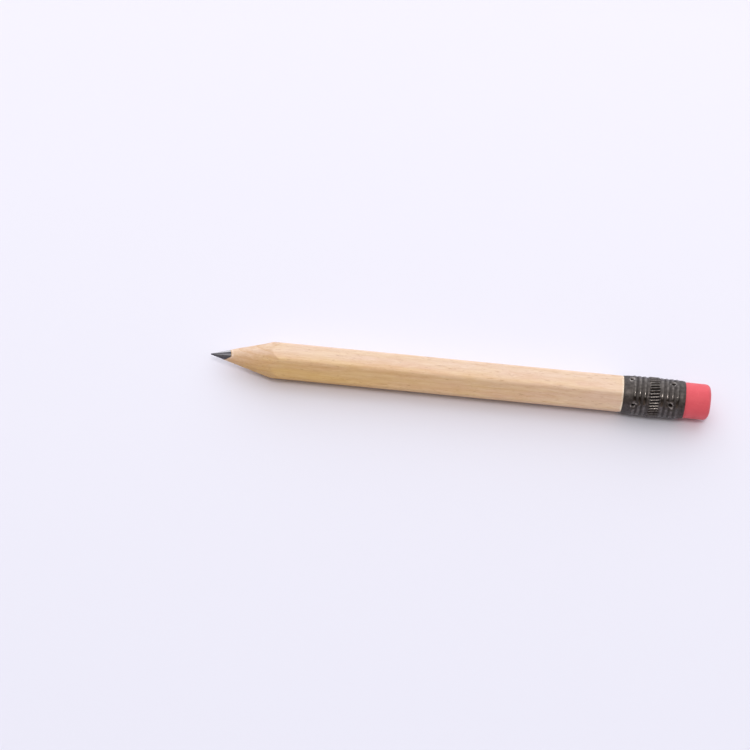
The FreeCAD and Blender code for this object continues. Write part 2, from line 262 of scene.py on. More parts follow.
def shoulder_line(angle):
    """Where the sharpened cone runs out into the flats: scallops with a slightly torn edge."""
    torn = surface_noise(13, 0.0, angle, 1.0, 64) * 0.02
    return cone_reach(hexagon_radius(angle) + torn)


CONE_ROWS = 84
BARREL_ROWS = 200
FRINGE = 0.46
RIM_GAP = 0.07
SEAT_ROWS = 26


def wood_rows(angle):
    """Rows of places along X, one column per angle: sharpened cone, barrel, end break and tenon."""
    collar, shoulder = wood_collar(angle), shoulder_line(angle)
    cone = [collar + (shoulder - collar) * share for share in np.linspace(0, 1, CONE_ROWS)]
    end = FRONT_RIM - FRINGE
    barrel = [shoulder + (end - shoulder) * share for share in np.linspace(0, 1, BARREL_ROWS)[1:]]
    flat = np.zeros_like(angle)
    fringe = [flat + end + (FRINGE - RIM_GAP) * share for share in np.linspace(0, 1, 8)[1:]]
    seats = [flat + x for x in np.linspace(FRONT_RIM + 0.8, FRONT_RIM + 3.2, SEAT_ROWS)]
    tenon_start = [flat + FRONT_RIM - RIM_GAP + 0.01, flat + FRONT_RIM + 0.3]
    tenon_end = [flat + TENON_END - 0.2, flat + TENON_END]
    return np.array(cone + barrel + fringe), np.array(tenon_start + seats + tenon_end)


def grain_relief(x, angle):
    """Height of the planed wood's surface: fibres that run along X, and a few torn dents."""
    fibres = surface_noise(21, x, angle, 5.0, 64) * 0.006 + surface_noise(22, x, angle, 2.2, 64) * 0.004
    waves = surface_noise(23, x, angle, 14.0, 8) * 0.012
    dents = smoothstep(0.62, 0.95, surface_noise(24, x, angle, 1.6, 64)) * 0.035
    return fibres + waves - dents


def cone_relief(x, angle):
    """Height of the sharpened wood: long shallow facets and a coarser nap than the barrel's."""
    facets = surface_noise(31, x, angle, 6.0, 16) * 0.035
    nap = surface_noise(32, x, angle, 0.9, 64) * 0.014 + surface_noise(33, x, angle, 0.4, 32) * 0.008
    return facets + nap


def crushed_share(x, angle):
    """How far the wood is pressed down by the ferrule's rim, from 0 to 1, with a ragged start."""
    ragged = surface_noise(14, 0.0, angle, 1.0, 32) * 0.10 + surface_noise(15, 0.0, angle, 1.0, 76) * 0.06
    start = FRONT_RIM - FRINGE + 0.05 + ragged
    return smoothstep(start, start + 0.14, x) * 0.6 + smoothstep(start + 0.1, FRONT_RIM, x) * 0.4


def outer_wood(angle):
    """The wood's outer surface: rows of x, of radius and of how far each point is sharpened."""
    shaped, tenon = wood_rows(angle)
    cut = np.zeros_like(shaped)
    cut[:CONE_ROWS] = 1
    cone = (shaped - CONE_APEX) * POINT_SLOPE
    barrel = np.broadcast_to(hexagon_radius(angle), shaped.shape)
    ends = smoothstep(0, 1.2, shaped - shaped[0]) * smoothstep(0, 1.0, np.abs(shaped - shaped[CONE_ROWS - 1]))
    radius = np.where(cut > 0, cone + cone_relief(shaped, angle) * ends, barrel)
    radius = radius + np.where(cut > 0, 0, grain_relief(shaped, angle) * ends)
    edge = off_centre_radius(CORE_RADIUS + GLUE, angle) + 0.025
    radius = np.maximum(radius, edge)
    crushed = crushed_share(shaped, angle)
    radius = radius - crushed * (0.05 + 0.35 * np.maximum(radius - SLEEVE_RADIUS, 0))
    tenon_radius = TENON_RADIUS - seat_depth(tenon, angle, FRONT_PRONGS)
    x = np.vstack([shaped, tenon])
    return x, np.vstack([radius, tenon_radius]), np.vstack([cut, np.zeros_like(tenon)])


SLAT_COLUMNS = 119


def make_slat(name, node, side, material):
    """One grooved slat, side +1 above the glue and -1 below it, as a closed band of cross sections."""
    share = np.linspace(0, 1, SLAT_COLUMNS)
    rough_angle = side * share * math.pi
    x, outer, cut = outer_wood(rough_angle)
    inner = np.broadcast_to(off_centre_radius(CORE_RADIUS + GLUE, rough_angle), outer.shape)

    def at_glue(radius):
        """Angles that keep the two end columns flat against the glue."""
        first = np.arcsin(HALF_GLUE / radius[:, :1])
        last = np.arcsin(HALF_GLUE / radius[:, -1:])
        return side * (first + share * (math.pi - first - last))

    rings = np.concatenate(
        [polar(x, outer, at_glue(outer)), polar(x, inner, at_glue(inner))[:, ::-1]], axis=1
    )
    rows, loop = rings.shape[:2]
    faces = strip_faces(rows, loop, True)
    columns = np.arange(SLAT_COLUMNS - 1)
    cap = np.stack([columns, columns + 1, loop - 2 - columns, loop - 1 - columns], axis=-1)
    faces = np.vstack([faces, cap[:, ::-1], cap + (rows - 1) * loop])
    if side < 0:
        faces = faces[:, ::-1]
    masks = {
        "cut": np.concatenate([cut, cut[:, ::-1]], axis=1),
        "frayed": np.tile(1 - smoothstep(0.1, 0.5, x - x[0]), 2),
        "crushed": np.tile(crushed_share(x, rough_angle), 2),
        "painted_hole_shade": np.tile(painted_hole_shade(x, rough_angle, FRONT_PRONGS), 2),
    }
    piece = make_mesh(name, rings.reshape(-1, 3), faces, masks)
    add_piece(piece, node, material)
    return piece


GLUE_COLUMNS = 30


def make_glue(material):
    """The glue film: a sleeve round the lead with a thin wing out to each glued corner."""
    share = np.linspace(0, 1, GLUE_COLUMNS)
    half_film = HALF_GLUE * 0.98
    loops = []
    for side in (1, -1):
        angle = side * share * math.pi
        x, outer, _ = outer_wood(angle)
        ahead = np.vstack([lead_collar(angle), x])
        lead = np.broadcast_to(off_centre_radius(CORE_RADIUS, angle), ahead.shape)
        sleeve = np.vstack([lead[:1] + 0.008, lead[1:] + GLUE - 0.004])
        wing = np.maximum(np.vstack([sleeve[:1], outer - 0.01]), sleeve + 0.002)
        rise, wing_rise = np.arcsin(half_film / sleeve), np.arcsin(half_film / wing)
        turned = side * np.clip(side * angle, rise, math.pi - rise)

        def edge(radius, lift, column):
            """The column of points at a wing's edge, just off angle 0 or half a turn."""
            turn = lift[:, column] if column == 0 else math.pi - lift[:, column]
            return polar(ahead[:, column], radius[:, column], side * turn)[:, None]

        tips = [edge(wing, wing_rise, column) for column in (0, -1)]
        roots = [edge(lead, rise / 2, column) for column in (0, -1)]
        half = np.concatenate([tips[0], polar(ahead, sleeve, turned), tips[1]], axis=1)
        bore = np.concatenate([roots[0], polar(ahead, lead, turned), roots[1]], axis=1)
        loops.append((half, bore) if side > 0 else (half[:, ::-1], bore[:, ::-1]))
    film = np.concatenate([loops[0][0], loops[1][0]], axis=1)
    bore = np.concatenate([loops[0][1], loops[1][1]], axis=1)
    rows, loop = film.shape[:2]
    quads = strip_faces(rows, loop, True)
    columns = np.arange(loop)
    after = (columns + 1) % loop
    inner = rows * loop
    front = np.stack([columns, after, inner + after, inner + columns], axis=-1)
    back = front + (rows - 1) * loop
    faces = np.vstack([quads, quads[:, ::-1] + inner, front[:, ::-1], back])
    points = np.concatenate([film.reshape(-1, 3), bore.reshape(-1, 3)])
    piece = make_mesh("glue_seam", points, faces)
    add_piece(piece, "glue_film", material)
    return piece


LEAD_COLUMNS = 180
# Each plane of the point: the angle where it begins, and its painted reflection, how bright its colour is
# painted from 0 (dark) to 1 (bright).
LEAD_FACETS = [(30, 1.0), (60, 0.9), (82, 0.0), (101, 0.42), (120, 0.18), (150, 0.05), (184, 0.02),
               (215, 0.3), (250, 0.6), (286, 0.15), (322, 0.5), (356, 0.3)]


def lead_facets(angle):
    """The sharpener leaves long planes on the lead, given by the angle where each begins and a painted
    reflection: how bright the plane's colour is painted, from 0 to 1. Gives the planes' share of the cone's
    radius, and the painted reflections."""
    starts = np.radians([facet[0] for facet in LEAD_FACETS])
    ends = np.append(starts[1:], starts[0] + TURN)
    turned = (angle - starts[0]) % TURN + starts[0]
    chosen = np.searchsorted(starts, turned, side="right") - 1
    half = (ends - starts)[chosen] / 2
    plane = np.cos(half) / np.cos(turned - starts[chosen] - half)
    return plane, np.array([facet[1] for facet in LEAD_FACETS])[chosen]


def make_lead(material):
    """The graphite lead: rounded tip, faceted point, and the rod hidden in the wood."""
    angle = np.arange(LEAD_COLUMNS) / LEAD_COLUMNS * TURN
    collar = lead_collar(angle)
    facet, painted_light = lead_facets(angle)
    xs, radii = [], []
    for turn in np.linspace(0.12, math.pi / 2 - POINT_HALF_ANGLE, 7):
        xs.append(np.full_like(angle, POINT_RADIUS * (1 - math.cos(turn))))
        radii.append(np.full_like(angle, POINT_RADIUS * math.sin(turn)))
    cone_start = xs[-1]
    for share in np.linspace(0, 1, 58)[1:]:
        x = cone_start + (collar - cone_start) * share
        cone = (x - CONE_APEX) * POINT_SLOPE
        scrape = surface_noise(41, x, angle, 1.5, 64) * 0.006 + surface_noise(42, x, angle, 0.5, 32) * 0.004
        strength = smoothstep(0.1, 0.8, x) * (1 - 0.5 * smoothstep(0.7, 1.0, share))
        shape = 1 - strength * (1 - facet)
        xs.append(x)
        radii.append(cone * shape + scrape * strength)
    rod = off_centre_radius(CORE_RADIUS, angle) - 0.004
    for x in np.linspace(0, 1, 12):
        xs.append(collar + 0.05 + (core_high.x - collar - 0.05) * x)
        radii.append(rod)
    rings = polar(np.array(xs), np.array(radii), angle)
    rows = len(rings)
    points = rings.reshape(-1, 3)
    faces = strip_faces(rows, LEAD_COLUMNS, True).tolist()
    first = np.arange(LEAD_COLUMNS)
    points, tip = disc_cap(points, first, [core_low.x, 0, 0], True)
    points, end = disc_cap(points, first + (rows - 1) * LEAD_COLUMNS, [core_high.x, 0, 0], False)
    # The painted reflections fade towards the point, so the tip is painted darker.
    facet_painted_light = painted_light * (0.3 + 0.7 * smoothstep(0.15, 1.3, np.array(xs)))
    masks = {"painted_light": np.concatenate([facet_painted_light.reshape(-1), [0.2, 0.2]])}
    piece = make_mesh("graphite_lead", points, faces + tip + end, masks, 18)
    add_piece(piece, "graphite_core", material)
    return piece


# ---------------------------------------------------------------- ferrule

SLEEVE_COLUMNS = FLUTES * 8
SLEEVE_CELLS = 156
RIM_ROWS = [0.0, 0.01, 0.03, 0.055]
MARK_HOLE_CELLS = 2
MARK_ROUND_CELLS = 8
MARK_BLOCK_CELLS = 14


def bead_height(x):
    """Rolled beads: round crests with wider valleys between them."""
    height = np.zeros_like(x)
    for beads, crest in ((FRONT_BEADS, 0.135), (REAR_BEADS, 0.12)):
        for centre in beads:
            reach = np.clip(np.abs(x - centre) / (BEAD_PITCH * 0.44), 0, 1)
            height = np.maximum(height, crest * (0.5 + 0.5 * np.cos(math.pi * reach)) ** 0.8)
    return height


def bead_gap_shade(x):
    """Share of the painted shade that lies between the beads, from 0 to 1."""
    share = np.zeros_like(x)
    for beads in (FRONT_BEADS, REAR_BEADS):
        inside = smoothstep(beads[0] - 0.2, beads[0], x) * (1 - smoothstep(beads[-1], beads[-1] + 0.2, x))
        share = np.maximum(share, inside)
    return share * (1 - smoothstep(0.0, 0.09, bead_height(x)))


def band_height(x):
    """The raised band between the two groups of beads."""
    rise = smoothstep(BAND_FROM - 0.3, BAND_FROM + 0.15, x)
    fall = 1 - smoothstep(BAND_TO - 0.15, BAND_TO + 0.3, x)
    return BAND_HEIGHT * rise * fall


FLUTE_DEPTH = 0.22
FLUTE_LEAN = 0.035


def flute_depth(x, angle):
    """Flutes: round-bottomed cuts across the band, leaning a little, with a different reach each."""
    angle = angle + FLUTE_LEAN * (x - (BAND_FROM + BAND_TO) / 2)
    number = np.floor(angle * FLUTES / TURN) % FLUTES
    reach = np.random.default_rng(54).uniform(-0.09, 0.09, (2, FLUTES))[:, number.astype(int)]
    across = (angle * FLUTES / TURN) % 1 - 0.5
    groove = np.clip(1.25 * np.cos(across * TURN) * 0.5 + 0.45, 0, 1)
    front = smoothstep(BAND_FROM - 0.28 + reach[0], BAND_FROM + 0.12 + reach[0], x)
    rear = 1 - smoothstep(BAND_TO - 0.12 + reach[1], BAND_TO + 0.28 + reach[1], x)
    return FLUTE_DEPTH * groove * front * rear


def dimple_depth(distance):
    """A prong's mark: a shallow dish, a raised lip, then a steep pierced cone."""
    dish = 0.08 * (1 - smoothstep(0.60, 1.10, distance))
    lip = 0.10 * np.exp(-(((distance - 0.52) / 0.11) ** 2))
    cone = (PRONG_DEPTH - 0.06) * (1 - smoothstep(0.10, 0.38, distance))
    return dish + cone - lip


# Lobes round a torn hole: how many, their size, and how far they turn from one hole to the next.
TORN_LOBES = [(2, 0.17, 2.3), (3, 0.11, 1.7), (5, 0.06, 2.9)]


def torn_distance(x, angle):
    """Distance to the nearest prong, stretched by a few ragged lobes round it."""
    nearest = np.full(np.shape(x), 9.0)
    for i, mark in enumerate(FRONT_PRONGS + REAR_PRONGS):
        distance = mark_distance(x, angle, mark)
        turned = (angle - mark[1] + math.pi) % TURN - math.pi
        lobe = np.arctan2(turned * SLEEVE_RADIUS, x - mark[0])
        ragged = sum(size * np.sin(lobes * lobe + shift * i) for lobes, size, shift in TORN_LOBES)
        nearest = np.minimum(nearest, distance * (1 + ragged * smoothstep(0.1, 0.4, distance)))
    return nearest


def sleeve_radius(x, angle):
    """The ferrule's outer surface, its height over the plain sleeve, the grooves and the nearest prong."""
    distance = torn_distance(x, angle)
    raised = (bead_height(x) + band_height(x)) * smoothstep(0.42, 0.95, distance)
    relief = raised - flute_depth(x, angle) - dimple_depth(distance)
    rim = np.minimum(x - FRONT_RIM, REAR_RIM - x)
    inside = np.clip(1 - rim / 0.09, 0, 1)
    rolled = 0.09 * (1 - np.sqrt(1 - inside**2 * 0.98))
    pressed = 0.09 * (1 - smoothstep(0.0, 1.1, x - FRONT_RIM)) + 0.10 * smoothstep(-0.6, 0.0, x - REAR_RIM)
    uneven = surface_noise(51, x, angle, 4.0, 8) * 0.014 + surface_noise(52, x, angle, 0.8, 32) * 0.006
    hammered = surface_noise(53, x, angle, 0.3, 76) * 0.004
    shape = relief - rolled - pressed + (uneven + hammered) * smoothstep(0, 0.4, rim)
    # groove: the flutes' depth, and a share of the painted shade that darkens the gaps between the beads.
    groove = np.maximum(flute_depth(x, angle) / FLUTE_DEPTH, bead_gap_shade(x) * 0.42)
    return SLEEVE_RADIUS + shape, relief, groove, distance


def sleeve_grid():
    """Grid of (x, angle) whose lines bend into circles round each prong, and the open cells there."""
    cell = (REAR_RIM - FRONT_RIM) / SLEEVE_CELLS
    inner = FRONT_RIM + np.arange(1, SLEEVE_CELLS) * cell
    rims = np.array(RIM_ROWS)
    stations = np.concatenate([FRONT_RIM + rims, inner, REAR_RIM - rims[::-1]])
    step = TURN / SLEEVE_COLUMNS
    row, column = np.meshgrid(np.arange(len(stations)), np.arange(SLEEVE_COLUMNS), indexing="ij")
    x, angle = stations[row], column * step
    open_cells = np.zeros((len(stations) - 1, SLEEVE_COLUMNS), bool)
    snapped = []
    for mark in FRONT_PRONGS + REAR_PRONGS:
        at_row = int(np.abs(stations - mark[0]).argmin())
        at_column = round(mark[1] / step)
        snapped.append((stations[at_row], at_column * step))
        i = row - at_row
        j = (column - at_column + SLEEVE_COLUMNS // 2) % SLEEVE_COLUMNS - SLEEVE_COLUMNS // 2
        square = np.maximum(np.abs(i), np.abs(j))
        bend = square / np.maximum(np.hypot(i, j), 1e-9)
        share = 1 - smoothstep(MARK_ROUND_CELLS, MARK_BLOCK_CELLS, square)
        scale = 1 + (bend - 1) * share
        inside = (square > 0) & (square < MARK_BLOCK_CELLS)
        x = np.where(inside, stations[at_row] + i * cell * scale, x)
        angle = np.where(inside, at_column * step + j * step * scale, angle)
        rows = np.arange(at_row - MARK_HOLE_CELLS, at_row + MARK_HOLE_CELLS)
        columns = np.arange(at_column - MARK_HOLE_CELLS, at_column + MARK_HOLE_CELLS) % SLEEVE_COLUMNS
        open_cells[rows[:, None], columns] = True
    return x, angle, open_cells, snapped


def make_ferrule(material):
    """The pressed sleeve as one closed sheet, with a real hole through every prong. It moves each
    prong to the nearest line of its grid, so it is made before the wood and the rubber."""
    x, angle, open_cells, snapped = sleeve_grid()
    FRONT_PRONGS[:] = snapped[: len(FRONT_PRONGS)]
    REAR_PRONGS[:] = snapped[len(FRONT_PRONGS):]
    outer, relief, groove, distance = sleeve_radius(x, angle)
    wall = PRONG_WALL + (SHEET - PRONG_WALL) * smoothstep(0.3, 0.9, distance)
    inner = np.where(distance > 1.0, HALF_FLATS, outer - wall)
    blend = smoothstep(0.7, 1.0, distance)
    inner = np.minimum(inner * (1 - blend) + HALF_FLATS * blend, outer - 0.08)
    shell = np.concatenate([polar(x, outer, angle).reshape(-1, 3), polar(x, inner, angle).reshape(-1, 3)])
    rows, columns = x.shape
    solid = strip_faces(rows, columns, True)[~open_cells.reshape(-1)]
    offset = rows * columns
    faces = [solid[:, ::-1], solid + offset, *edge_walls(solid, offset)]
    used = np.unique(np.vstack(faces))
    renumber = np.full(len(shell), -1)
    renumber[used] = np.arange(len(used))
    masks = {
        "relief": np.tile(relief.reshape(-1), 2)[used],
        "groove": np.tile(groove.reshape(-1), 2)[used],
        "pierced": np.tile((1 - smoothstep(0.35, 0.8, distance)).reshape(-1), 2)[used],
    }
    piece = make_mesh("ferrule_sleeve", shell[used], renumber[np.vstack(faces)][:, ::-1], masks, 55)
    add_piece(piece, "ferrule", material)
    return piece


def edge_walls(quads, offset):
    """Walls that join the two skins of a sheet along every free edge of one skin."""
    edges = np.concatenate([quads[:, [a, (a + 1) % 4]] for a in range(4)])
    keys = {}
    for a, b in edges.tolist():
        pair = (min(a, b), max(a, b))
        keys[pair] = None if pair in keys else (a, b)
    free = np.array([pair for pair in keys.values() if pair])
    return [np.stack([free[:, 0], free[:, 1], free[:, 1] + offset, free[:, 0] + offset], axis=-1)]


# ---------------------------------------------------------------- eraser

ERASER_COLUMNS = 180
ERASER_ROUNDING = 1.1
ERASER_CROWN = 0.12
ERASER_RAMP = 0.6


def eraser_profile():
    """The plug's outline as (x, radius): squeezed part, swell, straight side, rounded end, dome."""
    free = eraser_high.z
    squeezed = TENON_RADIUS
    front = [(eraser_low.x, share * squeezed) for share in np.linspace(0.1, 0.97, 6)]
    hidden = [(x, squeezed) for x in np.linspace(eraser_low.x + 0.06, REAR_RIM, 62)]
    swell = []
    for share in np.linspace(0, 1, 9)[1:]:
        swell.append((REAR_RIM + ERASER_RAMP * share, squeezed + (free - squeezed) * smoothstep(0, 1, share)))
    end = eraser_high.x - ERASER_CROWN
    straight = [(x, free) for x in np.linspace(REAR_RIM + ERASER_RAMP, end - ERASER_ROUNDING, 32)[1:]]
    rounded = []
    for turn in np.linspace(0, math.pi / 2, 19)[1:]:
        along = end - ERASER_ROUNDING * (1 - math.sin(turn))
        rounded.append((along, free - ERASER_ROUNDING * (1 - math.cos(turn))))
    flat = free - ERASER_ROUNDING
    dome = []
    for share in np.linspace(1, 0.03, 24)[1:]:
        dome.append((end + ERASER_CROWN * (1 - share**2), flat * share))
    return np.array(front + hidden + swell + straight + rounded + dome)


def make_eraser(material):
    """The rubber plug with its moulded unevenness, and dents where the prongs hold it."""
    angle = np.arange(ERASER_COLUMNS) / ERASER_COLUMNS * TURN
    profile = eraser_profile()
    x = np.broadcast_to(profile[:, :1], (len(profile), ERASER_COLUMNS)).copy()
    radius = np.broadcast_to(profile[:, 1:], x.shape).copy()
    shown = smoothstep(REAR_RIM + 0.1, REAR_RIM + 1.0, x)
    moulded = surface_noise(61, x + radius * 0.7, angle, 2.4, 8) * 0.022
    rubbed = surface_noise(62, x + radius * 0.7, angle, 0.7, 32) * 0.006
    side = smoothstep(0.5, 2.0, radius)
    radius = radius + (moulded + rubbed) * shown * side - 0.03 * shown
    radius = radius - seat_depth(x, angle, REAR_PRONGS) * (1 - shown) * (radius > TENON_RADIUS * 0.98)
    sag = surface_noise(63, radius, angle, 1.3, 8) * 0.03 * smoothstep(eraser_high.x - 1.0, eraser_high.x, x)
    x = np.minimum(x + sag - 0.02 * shown, eraser_high.x)
    rings = polar(x, radius, angle)
    rows = len(rings)
    faces = strip_faces(rows, ERASER_COLUMNS, True).tolist()
    first = np.arange(ERASER_COLUMNS)
    points, front = disc_cap(rings.reshape(-1, 3), first, [eraser_low.x, 0, 0], True)
    points, back = disc_cap(points, first + (rows - 1) * ERASER_COLUMNS, [x[-1].mean(), 0, 0], False)
    masks = {"painted_hole_shade": np.concatenate([painted_hole_shade(x, angle, REAR_PRONGS).reshape(-1), [0, 0]])}
    piece = make_mesh("eraser_rubber", points, faces + front + back, masks)
    add_piece(piece, "eraser_plug", material)
    return piece


# ---------------------------------------------------------------- materials


class Finish:
    """A node material. add() makes a node whose inputs are values or other nodes' sockets."""

    def __init__(self, name):
        self.material = bpy.data.materials.new(name)
        self.material.use_nodes = True
        self.tree = self.material.node_tree
        self.surface = self.tree.nodes["Principled BSDF"]
        self.place = self.add("ShaderNodeTexCoord").outputs["Object"]

    def add(self, kind, inputs=None, **settings):
        node = self.tree.nodes.new(kind)
        for name, value in settings.items():
            setattr(node, name, value)
        for name, value in (inputs or {}).items():
            self.feed(node.inputs[name], value)
        return node

    def feed(self, socket, value):
        if isinstance(value, bpy.types.NodeSocket):
            self.tree.links.new(value, socket)
        else:
            socket.default_value = value

    def set(self, **inputs):
        """Inputs of the Principled shader, with underscores for spaces."""
        for name, value in inputs.items():
            self.feed(self.surface.inputs[name.replace("_", " ").title().replace("Ior", "IOR")], value)

    def noise(self, along, across, detail=2.0, distortion=0.0, roughness=0.5):
        """Noise with its own number of cells per millimetre along X and across it."""
        scale = (along / MM, across / MM, across / MM)
        vector = self.add("ShaderNodeMapping", {"Vector": self.place, "Scale": scale}).outputs["Vector"]
        settings = {"Vector": vector, "Scale": 1.0, "Detail": detail}
        settings.update({"Distortion": distortion, "Roughness": roughness})
        return self.add("ShaderNodeTexNoise", settings).outputs["Fac"]

    def shift(self, offset):
        """Moves the texture, so that two pieces of one material don't match."""
        moved = self.add("ShaderNodeMapping", {"Vector": self.place, "Location": offset})
        self.place = moved.outputs["Vector"]

    def place_mm(self, stretch, offset):
        """Distance in millimetres from an offset origin, with each axis stretched."""
        scaled = {0: self.place, 1: tuple(share / MM for share in stretch), 2: offset}
        moved = self.add("ShaderNodeVectorMath", scaled, operation="MULTIPLY_ADD").outputs["Vector"]
        return self.add("ShaderNodeVectorMath", {0: moved}, operation="LENGTH").outputs["Value"]

    def axis(self, name):
        return self.add("ShaderNodeSeparateXYZ", {"Vector": self.place}).outputs[name]

    def attribute(self, name):
        return self.add("ShaderNodeAttribute", attribute_name=name).outputs["Fac"]

    def remap(self, value, low, high, to_low=0.0, to_high=1.0):
        settings = {"Value": value, "From Min": low, "From Max": high, "To Min": to_low, "To Max": to_high}
        return self.add("ShaderNodeMapRange", settings).outputs["Result"]

    def math(self, operation, first, second):
        return self.add("ShaderNodeMath", {0: first, 1: second}, operation=operation).outputs["Value"]

    def blend(self, factor, first, second, kind="MIX"):
        """Mixes two colours."""
        node = self.add("ShaderNodeMix", data_type="RGBA", blend_type=kind)
        self.feed(node.inputs[0], factor)
        self.feed(node.inputs[6], first if isinstance(first, bpy.types.NodeSocket) else (*first, 1))
        self.feed(node.inputs[7], second if isinstance(second, bpy.types.NodeSocket) else (*second, 1))
        return node.outputs[2]

    def bump(self, height, depth_mm, below=None):
        """A bump of a depth in millimetres for a height from 0 to 1."""
        node = self.add("ShaderNodeBump", {"Height": height, "Distance": depth_mm * MM, "Strength": 1.0})
        if below is not None:
            self.feed(node.inputs["Normal"], below)
        return node.outputs["Normal"]


CREAM = (0.782, 0.592, 0.470)
ROSE = (0.765, 0.546, 0.432)
STRAW = (0.792, 0.602, 0.438)
# Warm light thrown up by wood lying beside the pencil, painted into its lower side.
WARM_TINT = (0.88, 0.775, 0.45)
LATE_WOOD = (0.64, 0.40, 0.23)
FIBRE = (0.55, 0.32, 0.18)
CUT_FIBRE = (0.57, 0.37, 0.23)
PALE_FIBRE = (0.88, 0.735, 0.62)
VESSEL = (0.40, 0.20, 0.11)
BRUISED = (0.93, 0.83, 0.68)
TORN_EDGE = (0.88, 0.74, 0.68)
# Near-black painted shade in the prongs' holes, on the wood and the rubber.
PAINTED_HOLE_SHADE = (0.03, 0.026, 0.024)


def wood_finish(name, pith, seed):
    """Bare, planed, light hardwood, coloured through: growth layers round a far-off pith, blotches, flecks
    and fibres along X, and short dark vessels, with painted warm bounce light on the lower side towards the
    point. pith is a place (y, z) in millimetres."""
    finish = Finish(name)
    cut = finish.attribute("cut")
    away = finish.place_mm((0.03, 1, 1), (0, -pith[0], -pith[1]))
    warm_side = finish.remap(finish.axis("Y"), 0, -0.0024)
    warm_end = finish.remap(finish.axis("X"), 0.084, 0.016, 0.08, 1.0)
    finish.shift((seed * 0.31, seed * 0.017, seed * 0.013))

    colour = finish.blend(finish.remap(finish.noise(0.05, 0.30, 1), 0.42, 0.60), CREAM, ROSE)
    blotches = finish.remap(finish.noise(0.14, 0.75, 2), 0.44, 0.66, 0, 0.8)
    colour = finish.blend(blotches, colour, STRAW)
    wander = finish.math("MULTIPLY", finish.noise(0.05, 0.25, 2), 1.2)

    rings = finish.math("FRACT", finish.math("ADD", away, wander), 0)
    layer = finish.math("POWER", rings, 5.0)
    visible = finish.math("ADD", finish.math("MULTIPLY", cut, 0.55), 0.22)
    colour = finish.blend(finish.math("MULTIPLY", layer, visible), colour, LATE_WOOD)

    fibres = finish.noise(0.16, 7.0, 3, roughness=0.65)
    colour = finish.blend(finish.remap(fibres, 0.45, 0.75, 0.0, 0.26), colour, FIBRE)
    pale = finish.noise(0.35, 3.2, 3, roughness=0.6)
    colour = finish.blend(finish.remap(pale, 0.50, 0.72, 0.0, 0.40), colour, PALE_FIBRE)
    mottle = finish.noise(0.30, 1.6, 3, roughness=0.6)
    colour = finish.blend(finish.remap(mottle, 0.46, 0.72, 0.0, 0.34), colour, LATE_WOOD)

    flecks = finish.remap(finish.noise(0.8, 5.0, 2), 0.60, 0.72)
    patches = finish.remap(finish.noise(0.09, 0.5, 1), 0.40, 0.60, 0.12, 0.62)
    colour = finish.blend(finish.math("MULTIPLY", flecks, patches), colour, FIBRE)
    vessels = finish.remap(finish.noise(0.55, 6.5, 1), 0.70, 0.78, 0, 0.7)
    colour = finish.blend(vessels, colour, VESSEL)

    # Painted light: warm bounce light on the front, lower (-Y) side, stronger towards the point.
    uneven = finish.math("ADD", wander, 0.45)
    warmth = finish.math("MULTIPLY", warm_side, finish.math("MULTIPLY", warm_end, uneven))
    colour = finish.blend(warmth, colour, WARM_TINT, "MULTIPLY")

    nap = finish.noise(0.5, 4.5, 3, roughness=0.7)
    torn = finish.math("MULTIPLY", finish.remap(nap, 0.40, 0.70, 0.02, 0.32), cut)
    colour = finish.blend(torn, colour, CUT_FIBRE)
    chatter = finish.math("MULTIPLY", finish.remap(finish.noise(0.18, 2.0, 2), 0.5, 0.68, 0, 0.5), cut)
    colour = finish.blend(chatter, colour, LATE_WOOD)
    broken = finish.remap(finish.noise(1.0, 2.6, 2), 0.38, 0.56, 0.3, 1)
    bruised = finish.math("MULTIPLY", finish.attribute("crushed"), broken)
    colour = finish.blend(bruised, colour, BRUISED)
    frayed = finish.remap(finish.noise(1.2, 4, 2), 0.35, 0.6, 0.1, 0.8)
    colour = finish.blend(finish.math("MULTIPLY", finish.attribute("frayed"), frayed), colour, TORN_EDGE)
    # Painted shade: near-black where a prong's hole shows the wood.
    colour = finish.blend(finish.attribute("painted_hole_shade"), colour, PAINTED_HOLE_SHADE)

    rough = finish.math("ADD", finish.remap(fibres, 0.3, 0.7, 0.54, 0.68), finish.math("MULTIPLY", cut, 0.12))
    normal = finish.bump(fibres, 0.025)
    normal = finish.bump(finish.math("MULTIPLY", nap, finish.math("ADD", cut, 0.15)), 0.09, normal)
    normal = finish.bump(finish.math("MULTIPLY", vessels, -1.0), 0.04, normal)
    finish.set(base_color=colour, roughness=rough, normal=normal, specular_ior_level=0.25)
    return finish.material


def glue_finish():
    """Dried wood glue, tinted by the wood it soaked into."""
    finish = Finish("dried_glue")
    cloudy = finish.remap(finish.noise(0.3, 3.0, 2), 0.35, 0.7)
    colour = finish.blend(cloudy, (0.66, 0.45, 0.28), (0.52, 0.33, 0.18))
    finish.set(base_color=colour, roughness=finish.remap(cloudy, 0, 1, 0.45, 0.65))
    finish.set(normal=finish.bump(finish.noise(0.8, 6.0, 2), 0.01))
    return finish.material


def graphite_finish():
    """Sharpened graphite: metallic sheen, fine scrapes, and planes whose colour is painted bright or dark as
    painted reflections, the bright ones also smoother.
    """
    finish = Finish("sharpened_graphite")
    painted_light = finish.attribute("painted_light")
    scrapes = finish.noise(0.35, 7.0, 4, roughness=0.7)
    broad = finish.noise(0.12, 1.6, 2)
    dull = finish.blend(finish.remap(scrapes, 0.35, 0.7), (0.026, 0.023, 0.032), (0.066, 0.060, 0.080))
    bright = finish.blend(finish.remap(scrapes, 0.35, 0.7), (0.44, 0.435, 0.47), (0.60, 0.59, 0.61))
    # Painted reflection: each plane's colour is painted from dull to bright.
    colour = finish.blend(painted_light, dull, bright)
    colour = finish.blend(finish.remap(broad, 0.4, 0.65, 0, 0.3), colour, (0.070, 0.062, 0.088))
    burnish = finish.math("MULTIPLY", painted_light, -0.06)
    roughness = finish.math("ADD", finish.remap(scrapes, 0.3, 0.7, 0.28, 0.42), burnish)
    finish.set(base_color=colour, metallic=0.4, roughness=roughness, normal=finish.bump(scrapes, 0.015))
    return finish.material


